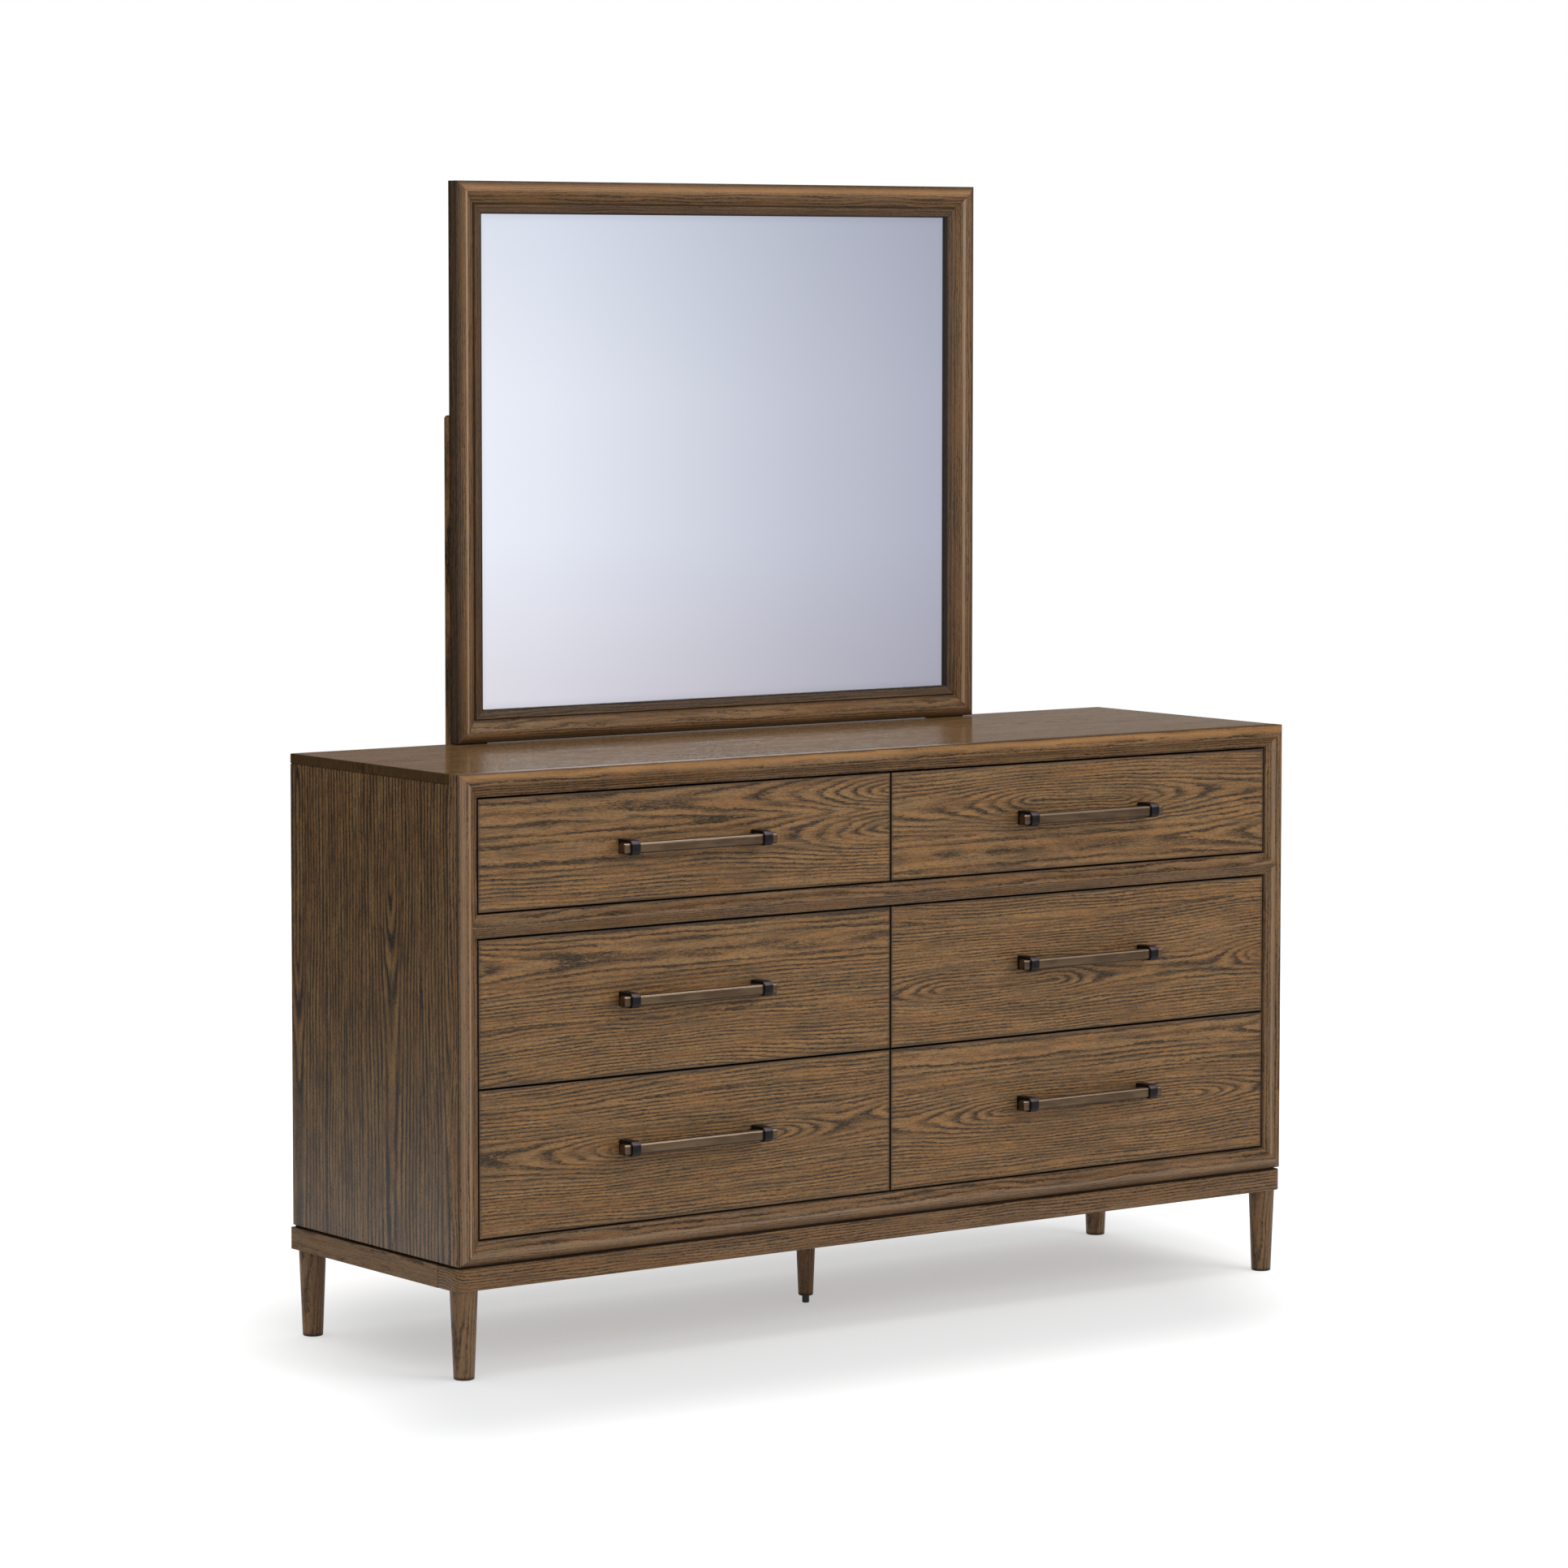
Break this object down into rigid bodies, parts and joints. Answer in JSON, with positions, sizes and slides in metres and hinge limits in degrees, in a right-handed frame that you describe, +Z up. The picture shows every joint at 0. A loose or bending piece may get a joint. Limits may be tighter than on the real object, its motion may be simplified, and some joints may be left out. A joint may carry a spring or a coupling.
{
  "type": "dresser with mirror",
  "caption": "Long oak-veneered dresser on tapered turned legs, with inset drawers in a cushion-moulded frame, bar pulls, and a wide framed mirror held on posts behind its top.",
  "frame": {"origin": "on the floor, under the centre of the whole piece's plan box, pulls and mirror posts included", "axes": "+Z up, -Y out of the drawer fronts, +X to the right of someone who faces the drawers"},
  "size_m": [1.6828, 0.5462, 1.8606],
  "materials": {
    "front_oak": "brown-stained oak veneer, grain across, darker glaze at the edges, satin lacquer",
    "top_oak": "brown-stained oak veneer, grain across, satin lacquer",
    "frame_oak": "brown-stained oak moulding, glazed in its hollows, satin lacquer",
    "mirror_oak": "brown-stained oak moulding, glazed in its hollows, satin lacquer",
    "base_oak": "brown-stained oak, satin lacquer",
    "side_oak": "darker brown-stained oak veneer, satin lacquer",
    "leg_oak": "brown-stained turned oak, grain along the leg, satin lacquer",
    "inner_wood": "clear-lacquered light hardwood",
    "back_board": "brown hardboard, unfinished",
    "mirror_glass": "silvered float glass",
    "pull_bronze": "antique bronze, satin",
    "bracket_black": "black, satin",
    "glide_black": "black nylon"
  },
  "bodies": {
    "case": {"base_rail_front": "base_oak", "base_rail_back": "side_oak", "base_rail_left": "side_oak", "base_rail_right": "side_oak", "base_cross_rail": "inner_wood", "leg_front_left": "leg_oak", "leg_front_right": "leg_oak", "leg_back_left": "leg_oak", "leg_back_right": "leg_oak", "centre_leg": "leg_oak", "top_panel": "top_oak", "side_panel_left": "side_oak", "side_panel_right": "side_oak", "bottom_panel": "inner_wood", "centre_divider": "inner_wood", "back_panel": "back_board", "stile_left": "frame_oak", "stile_right": "frame_oak", "top_rail": "frame_oak", "middle_rail": "frame_oak", "bottom_rail": "frame_oak", "mirror_frame_left": "mirror_oak", "mirror_frame_right": "mirror_oak", "mirror_frame_top": "mirror_oak", "mirror_frame_bottom": "mirror_oak", "mirror_glass": "mirror_glass", "mirror_backing": "back_board", "mirror_post_left": "side_oak", "mirror_post_right": "side_oak"},
    "lower_left_drawer": {"lower_left_drawer_front": "front_oak", "lower_left_drawer_box": "inner_wood", "lower_left_pull_bar": "pull_bronze", "lower_left_pull_bracket_left": "bracket_black", "lower_left_pull_bracket_right": "bracket_black"},
    "middle_left_drawer": {"middle_left_drawer_front": "front_oak", "middle_left_drawer_box": "inner_wood", "middle_left_pull_bar": "pull_bronze", "middle_left_pull_bracket_left": "bracket_black", "middle_left_pull_bracket_right": "bracket_black"},
    "upper_left_drawer": {"upper_left_drawer_front": "front_oak", "upper_left_drawer_box": "inner_wood", "upper_left_pull_bar": "pull_bronze", "upper_left_pull_bracket_left": "bracket_black", "upper_left_pull_bracket_right": "bracket_black"},
    "lower_right_drawer": {"lower_right_drawer_front": "front_oak", "lower_right_drawer_box": "inner_wood", "lower_right_pull_bar": "pull_bronze", "lower_right_pull_bracket_left": "bracket_black", "lower_right_pull_bracket_right": "bracket_black"},
    "middle_right_drawer": {"middle_right_drawer_front": "front_oak", "middle_right_drawer_box": "inner_wood", "middle_right_pull_bar": "pull_bronze", "middle_right_pull_bracket_left": "bracket_black", "middle_right_pull_bracket_right": "bracket_black"},
    "upper_right_drawer": {"upper_right_drawer_front": "front_oak", "upper_right_drawer_box": "inner_wood", "upper_right_pull_bar": "pull_bronze", "upper_right_pull_bracket_left": "bracket_black", "upper_right_pull_bracket_right": "bracket_black"},
    "centre_glide": {"centre_leg_glide": "glide_black"}
  },
  "joints": [
    {"name": "lower_left_drawer_slide", "type": "slide", "parent": "case", "child": "lower_left_drawer", "axis": [0, -1, 0], "range_m": [0, 0.3]},
    {"name": "middle_left_drawer_slide", "type": "slide", "parent": "case", "child": "middle_left_drawer", "axis": [0, -1, 0], "range_m": [0, 0.3]},
    {"name": "upper_left_drawer_slide", "type": "slide", "parent": "case", "child": "upper_left_drawer", "axis": [0, -1, 0], "range_m": [0, 0.3]},
    {"name": "lower_right_drawer_slide", "type": "slide", "parent": "case", "child": "lower_right_drawer", "axis": [0, -1, 0], "range_m": [0, 0.3]},
    {"name": "middle_right_drawer_slide", "type": "slide", "parent": "case", "child": "middle_right_drawer", "axis": [0, -1, 0], "range_m": [0, 0.3]},
    {"name": "upper_right_drawer_slide", "type": "slide", "parent": "case", "child": "upper_right_drawer", "axis": [0, -1, 0], "range_m": [0, 0.3]},
    {"name": "centre_glide_screw", "type": "slide", "parent": "case", "child": "centre_glide", "axis": [0, 0, 1], "range_m": [0, 0.01]}
  ]
}
